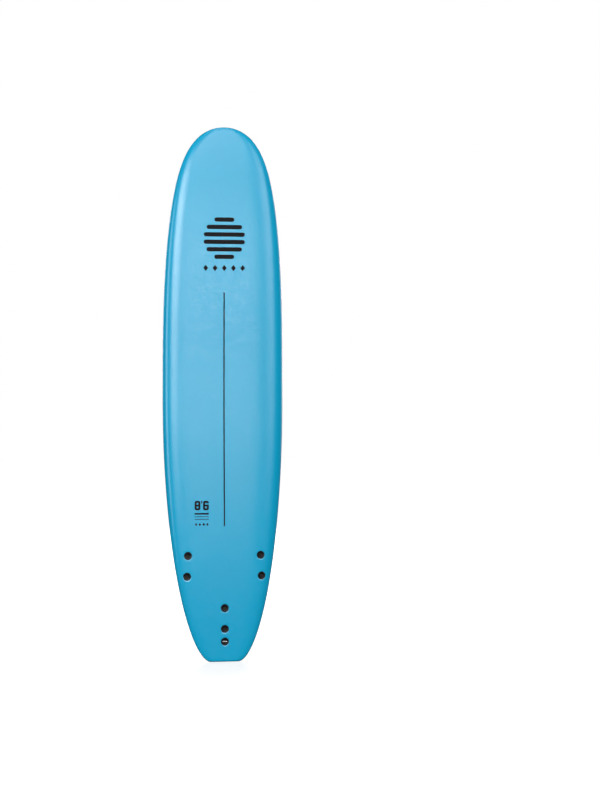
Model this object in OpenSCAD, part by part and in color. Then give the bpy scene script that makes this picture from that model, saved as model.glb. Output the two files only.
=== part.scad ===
// Soft-top longboard surfboard, 8 ft 6 in, with three bolt-through fins and a leash plug.
//
// The board stands on its tail: Z runs from tail to nose, the deck faces -Y and the bottom faces +Y.
// The core is three foam blanks glued to two plywood stringers. A foam deck skin wraps the deck and
// the rails, a hard slick sheet closes the bottom, and soft bumpers cap both ends. Each fin is held
// by two bolts that come down from the deck through moulded cups into inserts in the fin's posts.

/* [Board] */
// Overall length, tail to nose
board_l = 2591; // [2300:1:2900]
// Widest width
board_w = 590; // [520:1:640]
// Thickest thickness
board_t = 86; // [76:1:95]
// Height of the wide point above the tail
wide_z = 1300; // [1150:1:1450]
// Lift of the nose tip above the flat of the bottom
nose_rocker = 117; // [80:1:150]
// Lift of the tail end above the flat of the bottom
tail_rocker = 76; // [50:1:100]
// Half width of the squash tail's square end
tail_end_w = 68; // [50:1:90]
// Thickness that the foil tapers to at the ends, before its edge is rounded
end_t = 22; // [18:1:30]

/* [Skins] */
// Thickness of the foam deck skin
skin_t = 5; // [4:0.5:6]
// Thickness of the slick bottom sheet
slick_t = 1.5; // [1:0.1:2.5]
// How far the deck skin wraps on to the bottom
wrap_w = 18; // [12:1:25]
// Glue line between bonded layers
glue_t = 0.5; // [0.4:0.05:0.6]
// Depth of the nose bumper at the centre
nose_bumper_d = 26; // [20:1:32]
// Half span of the nose bumper
nose_bumper_w = 140; // [120:1:150]
// Depth of the tail bumper at the centre
tail_bumper_d = 26; // [20:1:32]
// Half span of the tail bumper
tail_bumper_w = 116; // [100:1:118]

/* [Stringers] */
// Distance of each stringer from the centreline
stringer_x = 70; // [60:1:85]
// Thickness of the plywood
stringer_t = 5; // [4:0.5:8]

/* [Fins] */
// Height of the side fins' middle above the tail
side_fin_z = 461; // [440:1:480]
// Distance of the side fins from the centreline
side_fin_x = 182; // [170:1:184]
// Height of the centre fin's middle above the tail
centre_fin_z = 205; // [200:1:220]
// Angle that each side fin's nose end turns in by
toe_in = 2.5; // [0:0.5:4]
// Distance between a fin's two posts
post_gap = 100; // [90:1:104]
// Length of the almond base
almond_l = 154; // [145:1:160]
// Width of the almond base
almond_w = 69; // [60:1:72]
// Thickness of the almond base
almond_t = 3; // [2.5:0.5:4]
// Depth of the blade
fin_depth = 115; // [100:1:130]
// Thickness of the blade at its root
blade_t = 9; // [7:0.5:12]
// Diameter of a post
post_d = 16; // [15:0.5:17]

/* [Bolts and cups] */
// Diameter of a deck cup's flange
cup_flange_d = 39; // [36:1:42]
// Diameter of a deck cup's barrel
cup_barrel_d = 22; // [20:0.5:24]
// Depth of a deck cup
cup_h = 16; // [15:1:18]
// Diameter of the bolt's head
head_d = 12; // [11:0.5:12.5]
// Diameter of the bolt's shank
bolt_d = 6; // [5:0.5:6.5]
// Length of the bolt under its head
bolt_l = 28; // [24:1:30]

/* [Leash plug] */
// Height of the leash plug above the tail
leash_z = 94; // [90:1:98]
// Diameter of the leash plug's barrel
leash_barrel_d = 30; // [28:1:32]
// Diameter of the bar that the leash string loops round
leash_bar_d = 5; // [4:0.5:6]
// Diameter of the bottom disc that screws up into the leash plug
leash_disc_d = 47; // [44:1:48]

/* [Hidden] */

half_w = board_w / 2;
centre_y = 28;          // Y of the bottom at its lowest, which centres the whole box on Y = 0
edge_r = 12;            // rounding of the nose and tail edges, in profile
end_land = 1;           // how far past its start that rounding begins, which leaves a narrow flat
rocker_flat = 0.44;     // share of the length, from the tail, where the bottom is lowest
foil_power = 3.28;      // how late the thickness tapers
belly_share = 0.42;     // share of the thickness below the rail's widest line
deck_power = 5;         // squareness of the section above that line
belly_power = 14;       // squareness below it, which leaves the bottom nearly flat
stations = 46;          // cross sections along the board
rail_steps = 11;        // facets from the rail's widest line to the centreline
skin_end = 1;           // how far the deck skin stops short of each end
bumper_t = 6;           // thickness of a bumper at its inner edge
bumper_lip = 3;         // how far a bumper rises past the rail's widest line
wrap_run = 180;         // length over which the deck skin's wrap narrows towards a bumper
wrap_turn = 14;         // length over which its edge then climbs to the bumper's lip
bend_run = 150;         // length over which the bottom layers' rows bend to a bumper's edge
skin_steps = 14;        // facets from one edge of the deck skin to the centreline
bottom_steps = 16;      // facets across the bottom layers
core_gap = 2;           // glue and foam fuzz between the core and the skins
fit = 0.3;              // clearance of a part in its pocket
running = 0.05;         // clearance all round of a thread or a pin
flange_t = 3;           // thickness of a cup's flange
bolt_seat = 9;          // depth of the face that a bolt's head sits on
head_h = 5;             // height of a bolt's head
recess_h = 2.5;         // depth of the cross recess in it
sleeve_wall = 2;
sleeve_d = post_d + 2 * fit + 2 * sleeve_wall;
post_top = cup_h + 1;   // depth of the top of a post, just under its cup
insert_d = 9;
insert_l = 14;
side_cant = 2.5;        // outward lean of a side fin's blade in its base
blade_edge = 0.7;       // half thickness of the blade's edges
blade_rings = 10;
leash_h = 20;           // depth of the leash plug
leash_floor = 6;        // thickness of its floor
leash_bore_d = 22;      // width of its well
leash_bar_l = 28;
leash_bar_z = 6.5;      // depth of the bar
leash_post_d = 10;
leash_disc_t = 4;
blue = "#2f9fcb";
black = "#1d1e20";
white = "#eef0f1";
steel = "#b8bcc0";
brass = "#c9a24a";
foam = "#f6f4ea";
plywood = "#c79a62";

// ---- Shape of the board -------------------------------------------------------------------

// Half width of the plan outline at height z
function half_width(z) = z > wide_z
    ? let (t = (z - wide_z) / (board_l - wide_z))
        half_w * pow(max(0, 1 - 0.753 * pow(t, 2.94) - 0.247 * pow(t, 12)), 1 / 2.06)
    : let (t = (wide_z - z) / wide_z)
        tail_end_w + (half_w - tail_end_w) * pow(max(0, 1 - pow(t, 2.08)), 1 / 1.8);

// Height of the outline above the tail at a distance x from the centreline, found by halving
function nose_z(x, lo = wide_z, hi = board_l, n = 24) = n == 0 ? (lo + hi) / 2
    : let (mid = (lo + hi) / 2)
        half_width(mid) > abs(x) ? nose_z(x, mid, hi, n - 1) : nose_z(x, lo, mid, n - 1);
function tail_z(x, lo = 0, hi = wide_z, n = 24) = abs(x) <= tail_end_w ? 0 : n == 0 ? (lo + hi) / 2
    : let (mid = (lo + hi) / 2)
        half_width(mid) < abs(x) ? tail_z(x, mid, hi, n - 1) : tail_z(x, lo, mid, n - 1);

// Thickness on the centreline, with the edge at each end rounded
function end_round(d) = let (s = min(d + end_land, edge_r) / edge_r) sqrt(1 - pow(1 - s, 2));
function foil(z) = let (s = abs(z - board_l / 2) / (board_l / 2))
    board_t - (board_t - end_t) * pow(s, foil_power);
function thickness(z) = foil(z) * end_round(min(z, board_l - z));

// Y of the bottom on the centreline, and of the rail's widest line
function bottom_y(z) = let (low_z = rocker_flat * board_l)
    centre_y - (z < low_z ? tail_rocker * pow(1 - z / low_z, 2.3)
        : nose_rocker * pow((z - low_z) / (board_l - low_z), 2.2));
function rail_y(z) = bottom_y(z) - foil(z) / 2 + thickness(z) / 2 - belly_share * thickness(z);

// Y of the deck and of the bottom at x, z, with the surface moved inwards by inset
function rise(x, z, power, inset) =
    sqrt(max(0, 1 - pow(min(1, abs(x) / max(0.01, half_width(z) - inset)), power)));
function deck_at(x, z, inset = 0) =
    rail_y(z) - ((1 - belly_share) * thickness(z) - inset) * rise(x, z, deck_power, inset);
function belly_at(x, z, inset = 0) =
    rail_y(z) + (belly_share * thickness(z) - inset) * rise(x, z, belly_power, inset);

// A point of the section at height z. The angle a is 0 on the rail's widest line, 90 on the deck's
// centreline and 180 on the other rail; a little below 0 or above 180 it is on the bottom.
function section_point(z, a, inset = 0) = let (
        below = a < 0 || a > 180,
        power = below ? belly_power : deck_power,
        h = (below ? belly_share : 1 - belly_share) * thickness(z) - inset,
        x = (half_width(z) - inset) * pow(abs(cos(a)), 2 / power))
    [cos(a) < 0 ? -x : x, rail_y(z) - h * sin(a), z];

// Heights of the cross sections, closer together towards both ends
function station(i, z0, z1, n = stations) = z0 + (z1 - z0) * (1 - cos(180 * i / n)) / 2;

// ---- Solids from surfaces -----------------------------------------------------------------

// A closed solid between two grids of points with the same rows and columns
module sheet(outer, inner) {
    rows = len(outer);
    cols = len(outer[0]);
    half = rows * cols;
    polyhedron(
        points = concat([for (r = outer) each r], [for (r = inner) each r]),
        faces = concat(
            [for (i = [0:rows - 2], j = [0:cols - 2]) let (p = i * cols + j)
                each [[p, p + 1, p + cols + 1], [p, p + cols + 1, p + cols]]],
            [for (i = [0:rows - 2], j = [0:cols - 2]) let (p = half + i * cols + j)
                each [[p, p + cols + 1, p + 1], [p, p + cols, p + cols + 1]]],
            [for (j = [0:cols - 2]) each wall(j, j + 1, half)],
            [for (j = [0:cols - 2]) each wall(half - cols + j + 1, half - cols + j, half)],
            [for (i = [0:rows - 2]) each wall((i + 1) * cols, i * cols, half)],
            [for (i = [0:rows - 2])
                each wall(i * cols + cols - 1, (i + 1) * cols + cols - 1, half)]));
}
function wall(a, b, half) = [[a, half + a, half + b], [a, half + b, b]];

// A closed solid through rings of points, each ring flat, with flat ends
module loft(rings) {
    n = len(rings[0]);
    last = (len(rings) - 1) * n;
    polyhedron(
        points = [for (r = rings) each r],
        faces = concat(
            [for (i = [0:len(rings) - 2], j = [0:n - 1]) let (p = i * n, k = (j + 1) % n)
                each [[p + j, p + n + k, p + k], [p + j, p + n + j, p + n + k]]],
            [[for (j = [0:n - 1]) j]],
            [[for (j = [n - 1:-1:0]) last + j]]));
}

// ---- Where the fins and the plugs sit -----------------------------------------------------

// Slopes of the bottom and of the deck at x, z, as angles about X and Z
function pitch_of(y1, y0, d) = atan2(y1 - y0, d);
function belly_pitch(x, z) = pitch_of(belly_at(x, z + 10), belly_at(x, z - 10), 20);
function belly_roll(x, z) = pitch_of(belly_at(x + 10, z), belly_at(x - 10, z), 20);
function deck_pitch(x, z) = pitch_of(deck_at(x, z + 10), deck_at(x, z - 10), 20);
function deck_roll(x, z) = pitch_of(deck_at(x + 10, z), deck_at(x - 10, z), 20);

// A seat on the bottom: [x, z, turn]. Its Y points out of the board and its Z towards the nose.
function fin_seat(side) = side == 0 ? [0, centre_fin_z, 0]
    : [side * side_fin_x, side_fin_z, -side * toe_in];
leash_seat = [0, leash_z, 0];
function seat_point(seat) = [seat[0], belly_at(seat[0], seat[1]), seat[1]];
function turned(v, seat) = let (
        t = seat[2], a = -belly_pitch(seat[0], seat[1]), c = belly_roll(seat[0], seat[1]),
        u = [v.x * cos(t) + v.z * sin(t), v.y, v.z * cos(t) - v.x * sin(t)],
        w = [u.x, u.y * cos(a) - u.z * sin(a), u.y * sin(a) + u.z * cos(a)])
    [w.x * cos(c) - w.y * sin(c), w.x * sin(c) + w.y * cos(c), w.z];
module at_seat(seat) {
    translate(seat_point(seat))
        rotate([-belly_pitch(seat[0], seat[1]), 0, belly_roll(seat[0], seat[1])])
            rotate([0, seat[2], 0])
                children();
}

// The line of a bolt runs from the seat to the deck, offset along the seat's length. This finds
// how deep the board is along it, and where it meets the deck.
function line_point(seat, offset, d) = seat_point(seat) + turned([0, -d, offset], seat);
function line_depth(seat, offset, d = 50, n = 6) = n == 0 ? d
    : let (p = line_point(seat, offset, d))
        line_depth(seat, offset, d + (p.y - deck_at(p.x, p.z)), n - 1);
function deck_end(seat, offset) = line_point(seat, offset, line_depth(seat, offset));

// Puts its children on that line with Z pointing out of the deck, from the deck's surface
module at_line(seat, offset) {
    at_seat(seat)
        translate([0, -line_depth(seat, offset), offset])
            rotate([90, 0, 0])
                children();
}

// Puts its children where the line meets the deck, square to the deck, with Z pointing out
module on_deck(seat, offset) {
    p = deck_end(seat, offset);
    translate(p)
        rotate([-deck_pitch(p.x, p.z), 0, deck_roll(p.x, p.z)])
            rotate([90, 0, 0])
                children();
}

// Clears a line right through the board, and the recess of its flange in the deck
module line_pocket(seat, offset, d) {
    depth = line_depth(seat, offset);
    at_line(seat, offset)
        translate([0, 0, -depth - 8])
            cylinder(h = depth + 16, d = d, $fn = 48);
    on_deck(seat, offset)
        translate([0, 0, -flange_t - fit])
            cylinder(h = 20, d = cup_flange_d + 2 * fit, $fn = 64);
}
module fin_pockets(side) {
    for (end = [-1, 1]) line_pocket(fin_seat(side), end * post_gap / 2, cup_barrel_d + 2 * fit);
}
module leash_pocket() {
    line_pocket(leash_seat, 0, leash_barrel_d + 2 * fit);
}

// ---- Core ---------------------------------------------------------------------------------

// The bumpers' inner edges, and where they run out at the rails
nose_side_z = nose_z(nose_bumper_w);
tail_side_z = tail_z(tail_bumper_w);
function nose_inner_z(x) =
    board_l - nose_bumper_d - (board_l - nose_side_z - nose_bumper_d) * pow(x / nose_bumper_w, 2);
function tail_inner_z(x) =
    tail_bumper_d + (tail_side_z - tail_bumper_d) * pow(x / tail_bumper_w, 2);

// The outer rows have one where each bumper runs out. The rows of the skin's inner face, and of
// everything under it, are the outer rows squeezed lengthwise.
function squeezed(z) = let (mid = board_l / 2, room = mid - skin_end)
    mid + (z - mid) * (room - skin_t) / room;
function rows_between(zs, z0, z1) =
    concat([z0], [for (z = zs) if (z > z0 + 1 && z < z1 - 1) z], [z1]);
station_zs = [for (i = [0:stations]) station(i, skin_end, board_l - skin_end)];
outer_zs = concat(
    [for (z = station_zs) if (z < tail_side_z - 1) z],
    rows_between(station_zs, tail_side_z, nose_side_z),
    [for (z = station_zs) if (z > nose_side_z + 1) z]);
inner_zs = [for (z = outer_zs) squeezed(z)];

core_inset = skin_t + core_gap;
core_x0 = stringer_x + stringer_t / 2 + glue_t;
core_x1 = stringer_x - stringer_t / 2 - glue_t;

// The ends of the blanks stop behind the bumpers
side_core_zs = rows_between(inner_zs, tail_side_z + 2, nose_side_z - 2);
centre_core_zs = rows_between(inner_zs, tail_inner_z(core_x0) + 2, nose_inner_z(core_x0) - 2);

// Ring of a side blank at height z: along the deck from the stringer, round the rail and back
function side_ring(z) = let (
        w = half_width(z) - core_inset,
        belly = acos(pow(core_x0 / w, belly_power / 2)),
        deck = acos(pow(core_x0 / w, deck_power / 2)))
    concat(
        [for (j = [0:rail_steps]) section_point(z, deck * (1 - j / rail_steps), core_inset)],
        [for (j = [1:rail_steps]) section_point(z, -belly * j / rail_steps, core_inset)]);
// Ring of the centre blank, or of any strip of the core between two lines
function strip_ring(z, x0, x1, n) = concat(
    [for (j = [0:n]) let (x = x0 + (x1 - x0) * j / n) [x, deck_at(x, z, core_inset), z]],
    [for (j = [n:-1:0]) let (x = x0 + (x1 - x0) * j / n) [x, belly_at(x, z, core_inset), z]]);

module side_core() {
    difference() {
        loft([for (z = side_core_zs) side_ring(z)]);
        fin_pockets(1);
    }
}
module foam_core_right() {
    color(foam) side_core();
}
module foam_core_left() {
    color(foam) mirror([1, 0, 0]) side_core();
}
module foam_core_centre() {
    color(foam) difference() {
        loft([for (z = centre_core_zs) strip_ring(z, -core_x1, core_x1, 4)]);
        fin_pockets(0);
        leash_pocket();
    }
}

// A stringer is one flat board, cut to the core's profile
module stringer(side) {
    x = stringer_x + stringer_t / 2;
    zs = centre_core_zs;
    profile = concat([for (z = zs) [deck_at(x, z, core_inset), z]],
        [for (i = [len(zs) - 1:-1:0]) [belly_at(x, zs[i], core_inset), zs[i]]]);
    color(plywood)
        translate([side * stringer_x - stringer_t / 2, 0, 0])
            rotate([90, 0, 90])
                linear_extrude(height = stringer_t)
                    polygon(profile);
}
module stringer_left() { stringer(-1); }
module stringer_right() { stringer(1); }

// ---- Skins and bumpers --------------------------------------------------------------------

// Angle at which the deck skin ends on the bottom. Its wrap narrows towards both ends, and it
// runs out above the bumpers.
function lip_angle(z) = asin(min(1, (bumper_lip + 2 * glue_t) / ((1 - belly_share) * thickness(z))));
function wrap_angle(z) = let (
        w = half_width(z),
        away = max(0, min(z - tail_side_z, nose_side_z - z)),
        band = wrap_w * min(1, away / wrap_run),
        full = acos(pow(max(0, (w - band) / w), belly_power / 2)))
    min(1, away / wrap_turn) * (full + lip_angle(z)) - lip_angle(z);

function skin_row(z, outer_z, inset) = let (a0 = wrap_angle(outer_z), n = 2 * skin_steps)
    [for (j = [0:n]) section_point(z, -a0 + (180 + 2 * a0) * j / n, inset)];
module deck_skin() {
    color(blue) difference() {
        sheet([for (z = outer_zs) skin_row(z, z, 0)],
            [for (z = outer_zs) skin_row(squeezed(z), z, skin_t)]);
        for (side = [-1, 0, 1]) fin_pockets(side);
        leash_pocket();
    }
}

// The bottom is a hard slick sheet on a foam backing. Both stop at the deck skin's edge, and their
// ends bend to follow the bumpers' inner edges.
function edge_x(z) =
    half_width(z) * pow(cos(max(0, wrap_angle(z))), 2 / belly_power) - glue_t;
function bent(x, z) = z
    + max(0, nose_inner_z(x) - nose_side_z) * max(0, (z - nose_side_z + bend_run) / bend_run)
    + min(0, tail_inner_z(x) - tail_side_z) * max(0, (tail_side_z + bend_run - z) / bend_run);
module bottom_layer(top, base, bevel) {
    zs = rows_between(outer_zs, tail_side_z + glue_t, nose_side_z - glue_t);
    function row(row_z, inset, back) = [for (j = [0:bottom_steps])
        let (x = (edge_x(row_z) - back) * sin(-90 + 180 * j / bottom_steps), z = bent(x, row_z))
            [x, belly_at(x, z) - inset, z]];
    difference() {
        sheet([for (z = zs) row(z, top, bevel[0])], [for (z = zs) row(z, base, bevel[1])]);
        for (side = [-1, 0, 1], end = [-1, 1])
            at_seat(fin_seat(side))
                translate([0, 0, end * post_gap / 2])
                    rotate([90, 0, 0])
                        cylinder(h = 40, d = sleeve_d + 2 * fit, center = true, $fn = 48);
        at_seat(leash_seat)
            rotate([90, 0, 0])
                cylinder(h = 40, d = leash_post_d + 4, center = true, $fn = 48);
    }
}
module bottom_slick() {
    color(white) bottom_layer(0, slick_t, [0, 2]);
}
module bottom_backing() {
    color(foam) bottom_layer(slick_t + glue_t, skin_t, [5, 9]);
}

// A bumper is a wedge: thin at its inner edge, and a little past the rail's widest line at the
// board's edge. Its ends stop just short of the point where its edges meet.
module bumper(span, inner_z, outer_z, way) {
    steps = 26;
    across = 6;
    xs = [for (i = [0:steps]) way * 0.985 * span * sin(180 * i / steps - 90)];
    function z_at(x, j) = inner_z(x) + (outer_z(x) - inner_z(x)) * sin(90 * j / across);
    function ceiling(x, j) = let (z = z_at(x, j), share = pow(j / across, 3))
        (1 - share) * (belly_at(x, z) - bumper_t) + share * (rail_y(z) - bumper_lip);
    color(black)
        sheet([for (x = xs) [for (j = [0:across]) [x, belly_at(x, z_at(x, j)), z_at(x, j)]]],
            [for (x = xs) [for (j = [0:across]) [x, ceiling(x, j), z_at(x, j)]]]);
}
module nose_bumper() {
    bumper(nose_bumper_w, function (x) nose_inner_z(x), function (x) nose_z(x), -1);
}
module tail_bumper() {
    bumper(tail_bumper_w, function (x) tail_inner_z(x), function (x) tail_z(x), 1);
}

// ---- Fins ---------------------------------------------------------------------------------

// Along a fin: z is towards the nose from the middle of its base, y is the depth of the blade
function blade_front(h) = 64 - 34 * h - 132 * pow(h, 2.6);
function blade_back(h) = -56 + 6 * sin(180 * h) - 54 * pow(h, 1.9);
function blade_ring(h, cant) = let (
        front = blade_front(h), back = blade_back(h), thick = blade_t * (1 - 0.62 * h), n = 7,
        lean = fin_depth * h * tan(cant))
    concat(
        [for (j = [0:n]) let (s = (1 - cos(180 * j / n)) / 2)
            [lean + thick / 2 * sqrt(s) * (1 - s) * 2.6 + blade_edge, fin_depth * h,
                front + (back - front) * s]],
        [for (j = [n:-1:0]) let (s = (1 - cos(180 * j / n)) / 2)
            [lean - thick / 2 * sqrt(s) * (1 - s) * 2.6 - blade_edge, fin_depth * h,
                front + (back - front) * s]]);

// The almond is where two discs overlap
module almond(thick) {
    r = (pow(almond_l / 2, 2) + pow(almond_w / 2, 2)) / almond_w;
    rotate([-90, 0, 0])
        intersection() {
            translate([almond_w / 2 - r, 0, 0]) cylinder(h = thick, r = r, $fn = 180);
            translate([r - almond_w / 2, 0, 0]) cylinder(h = thick, r = r, $fn = 180);
        }
}

module fin(side) {
    seat = fin_seat(side);
    color(black) difference() {
        union() {
            at_seat(seat) {
                translate([0, fit, 0]) almond(almond_t);
                translate([0, fit, 0]) mirror([side < 0 ? 1 : 0, 0, 0])
                    loft([for (i = [0:blade_rings])
                        blade_ring(i / blade_rings, side == 0 ? 0 : side_cant)]);
            }
            for (end = [-1, 1]) at_line(seat, end * post_gap / 2) {
                depth = line_depth(seat, end * post_gap / 2);
                translate([0, 0, -depth - fit - almond_t / 2])
                    cylinder(h = depth + fit + almond_t / 2 - post_top, d = post_d, $fn = 48);
            }
        }
        for (end = [-1, 1]) at_line(seat, end * post_gap / 2) {
            translate([0, 0, -post_top - insert_l - running])
                cylinder(h = 40, d = insert_d + 2 * running, $fn = 32);
            translate([0, 0, -bolt_seat - bolt_l - 2])
                cylinder(h = 40, d = bolt_d + 2 * fit, $fn = 32);
        }
    }
}
module fin_left() { fin(-1); }
module fin_right() { fin(1); }
module fin_centre() { fin(0); }

// A brass insert in the end of each post
module fin_inserts(side) {
    color(brass)
        for (end = [-1, 1]) at_line(fin_seat(side), end * post_gap / 2)
            translate([0, 0, -post_top - insert_l])
                difference() {
                    cylinder(h = insert_l, d = insert_d, $fn = 32);
                    translate([0, 0, -1])
                        cylinder(h = insert_l + 2, d = bolt_d + 2 * running, $fn = 32);
                }
}
module left_fin_inserts() { fin_inserts(-1); }
module right_fin_inserts() { fin_inserts(1); }
module centre_fin_inserts() { fin_inserts(0); }

// ---- Cups, bolts and sleeves --------------------------------------------------------------

// A sleeve lines the board between a deck cup and the bottom, and the fin's post slides in it
module sleeve(side, end) {
    offset = end * post_gap / 2;
    depth = line_depth(fin_seat(side), offset);
    color(black) at_line(fin_seat(side), offset)
        translate([0, 0, -depth])
            difference() {
                cylinder(h = depth - cup_h - fit, d = sleeve_d, $fn = 48);
                translate([0, 0, -1])
                    cylinder(h = depth, d = post_d + 2 * fit, $fn = 48);
            }
}
module left_front_sleeve() { sleeve(-1, 1); }
module left_rear_sleeve() { sleeve(-1, -1); }
module right_front_sleeve() { sleeve(1, 1); }
module right_rear_sleeve() { sleeve(1, -1); }
module centre_front_sleeve() { sleeve(0, 1); }
module centre_rear_sleeve() { sleeve(0, -1); }

// A cup's flange lies square to the deck, and its barrel follows the bolt
module cup_body(seat, offset, barrel_d, h) {
    on_deck(seat, offset)
        translate([0, 0, -flange_t])
            cylinder(h = flange_t, d = cup_flange_d, $fn = 64);
    at_line(seat, offset)
        translate([0, 0, -h])
            cylinder(h = h - flange_t + 0.5, d = barrel_d, $fn = 48);
}
module cup(side, end) {
    seat = fin_seat(side);
    offset = end * post_gap / 2;
    color(black) difference() {
        cup_body(seat, offset, cup_barrel_d, cup_h);
        at_line(seat, offset) {
            translate([0, 0, -bolt_seat])
                cylinder(h = 20, d = head_d + 1.5, $fn = 48);
            translate([0, 0, -cup_h - 1])
                cylinder(h = 20, d = bolt_d + 2 * fit, $fn = 32);
        }
    }
}
module left_front_cup() { cup(-1, 1); }
module left_rear_cup() { cup(-1, -1); }
module right_front_cup() { cup(1, 1); }
module right_rear_cup() { cup(1, -1); }
module centre_front_cup() { cup(0, 1); }
module centre_rear_cup() { cup(0, -1); }

// A bolt with a low cheese head and a cross recess
module bolt(side, end) {
    color(steel) at_line(fin_seat(side), end * post_gap / 2)
        translate([0, 0, -bolt_seat]) {
            difference() {
                cylinder(h = head_h, d = head_d, $fn = 48);
                for (a = [0, 90]) rotate([0, 0, a])
                    translate([-head_d / 4, -head_d / 16, head_h - recess_h])
                        cube([head_d / 2, head_d / 8, recess_h + 1]);
            }
            translate([0, 0, -bolt_l])
                cylinder(h = bolt_l + 1, d = bolt_d, $fn = 32);
        }
}
module left_front_bolt() { bolt(-1, 1); }
module left_rear_bolt() { bolt(-1, -1); }
module right_front_bolt() { bolt(1, 1); }
module right_rear_bolt() { bolt(1, -1); }
module centre_front_bolt() { bolt(0, 1); }
module centre_rear_bolt() { bolt(0, -1); }

// ---- Leash plug ---------------------------------------------------------------------------

module leash_cup() {
    color(black) difference() {
        cup_body(leash_seat, 0, leash_barrel_d, leash_h);
        at_line(leash_seat, 0) {
            translate([0, 0, -leash_h + leash_floor])
                cylinder(h = 40, d = leash_bore_d, $fn = 48);
            translate([0, 0, -leash_h - 1])
                cylinder(h = 20, d = leash_post_d + 2 * running, $fn = 48);
            translate([-leash_bar_l / 2 - running, 0, -leash_bar_z])
                rotate([0, 90, 0])
                    cylinder(h = leash_bar_l + 2 * running, d = leash_bar_d + 2 * running, $fn = 32);
        }
    }
}
module leash_bar() {
    color(steel) at_line(leash_seat, 0)
        translate([-leash_bar_l / 2, 0, -leash_bar_z])
            rotate([0, 90, 0])
                cylinder(h = leash_bar_l, d = leash_bar_d, $fn = 32);
}
// The bottom disc and its post, with a coin slot to turn it by
module leash_disc() {
    depth = line_depth(leash_seat, 0);
    color(black) at_line(leash_seat, 0) {
        difference() {
            translate([0, 0, -depth - fit - leash_disc_t])
                cylinder(h = leash_disc_t, d = leash_disc_d, $fn = 64);
            translate([-leash_disc_d / 4, -1.5, -depth - fit - leash_disc_t - 1])
                cube([leash_disc_d / 2, 3, 2.5]);
        }
        translate([0, 0, -depth - fit - 1])
            cylinder(h = depth + fit + 1 - leash_h + leash_floor - 1, d = leash_post_d, $fn = 48);
    }
}

foam_core_left();
foam_core_centre();
foam_core_right();
stringer_left();
stringer_right();
deck_skin();
bottom_backing();
bottom_slick();
nose_bumper();
tail_bumper();
left_front_sleeve();
left_rear_sleeve();
right_front_sleeve();
right_rear_sleeve();
centre_front_sleeve();
centre_rear_sleeve();
left_front_cup();
left_rear_cup();
right_front_cup();
right_rear_cup();
centre_front_cup();
centre_rear_cup();
left_front_bolt();
left_rear_bolt();
right_front_bolt();
right_rear_bolt();
centre_front_bolt();
centre_rear_bolt();
fin_left();
fin_right();
fin_centre();
left_fin_inserts();
right_fin_inserts();
centre_fin_inserts();
leash_cup();
leash_bar();
leash_disc();
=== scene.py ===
"""The looks of a soft-top longboard: foam deck, slick bottom, three fins and their fittings.

The board stands on its tail, with its deck towards -Y, its bottom towards +Y and its nose up.
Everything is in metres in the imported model's frame, where the outline, rocker and foil are the
same curves that the CAD part is drawn from.
"""

import math

import bmesh
import bpy
import numpy as np
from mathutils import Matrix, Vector


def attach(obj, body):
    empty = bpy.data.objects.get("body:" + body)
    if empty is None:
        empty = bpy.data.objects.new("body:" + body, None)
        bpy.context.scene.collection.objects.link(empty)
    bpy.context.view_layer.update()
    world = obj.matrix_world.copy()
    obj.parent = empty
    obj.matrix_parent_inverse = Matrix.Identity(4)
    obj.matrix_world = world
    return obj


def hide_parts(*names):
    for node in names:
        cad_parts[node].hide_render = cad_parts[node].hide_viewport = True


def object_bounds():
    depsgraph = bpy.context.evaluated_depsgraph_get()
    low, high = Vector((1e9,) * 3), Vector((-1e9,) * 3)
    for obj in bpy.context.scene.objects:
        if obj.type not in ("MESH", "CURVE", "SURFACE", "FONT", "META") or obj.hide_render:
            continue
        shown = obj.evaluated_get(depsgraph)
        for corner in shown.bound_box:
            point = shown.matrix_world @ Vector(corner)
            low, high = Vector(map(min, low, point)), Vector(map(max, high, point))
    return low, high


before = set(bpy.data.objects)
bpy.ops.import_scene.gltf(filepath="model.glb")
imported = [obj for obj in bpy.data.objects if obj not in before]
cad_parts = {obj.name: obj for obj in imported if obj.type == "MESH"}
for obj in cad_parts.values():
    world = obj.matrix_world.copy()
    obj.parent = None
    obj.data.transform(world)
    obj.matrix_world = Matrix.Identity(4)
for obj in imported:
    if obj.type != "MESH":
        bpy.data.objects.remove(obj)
cad_low, cad_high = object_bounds()

MM = 0.001

# ---- Driving dimensions, in metres

BOARD_L = cad_high.z
HALF_W = cad_high.x
BOARD_T = 86 * MM
WIDE_Z = 1.300
NOSE_ROCKER = 117 * MM
TAIL_ROCKER = 76 * MM
TAIL_END_W = 68 * MM
END_T = 22 * MM
CENTRE_Y = 28 * MM
EDGE_R = 12 * MM
END_LAND = 1 * MM
LOW_Z = 0.44 * BOARD_L
FOIL_POWER = 3.28
BELLY_SHARE = 0.42
DECK_POWER = 5
BELLY_POWER = 14
NOSE_EARLY, NOSE_EARLY_POWER = 0.753, 2.94
NOSE_LATE, NOSE_LATE_POWER = 0.247, 12
NOSE_ROUND = 2.06
TAIL_POWER = 2.08
TAIL_ROUND = 1.8
TAIL_ROCKER_POWER = 2.3
NOSE_ROCKER_POWER = 2.2

SKIN_END = 1 * MM
WRAP_W = 18 * MM
WRAP_RUN = 180 * MM
WRAP_TURN = 14 * MM
GLUE = 0.5 * MM
BUMPER_D = 26 * MM
BUMPER_T = 6 * MM
BUMPER_LIP = 3 * MM
NOSE_BUMPER_W = 140 * MM
TAIL_BUMPER_W = 116 * MM
BEND_RUN = 150 * MM
SLICK_T = 1.5 * MM
FOAM_T = 4.5 * MM

SIDE_FIN_X = 182 * MM
SIDE_FIN_Z = 461 * MM
CENTRE_FIN_Z = 205 * MM
TOE_IN = 2.5
SIDE_CANT = 2.5
POST_GAP = 100 * MM
ALMOND_L = 154 * MM
ALMOND_W = 69 * MM
FIN_DEPTH = 115 * MM
BLADE_T = 9 * MM
FIT = 0.3 * MM

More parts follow.
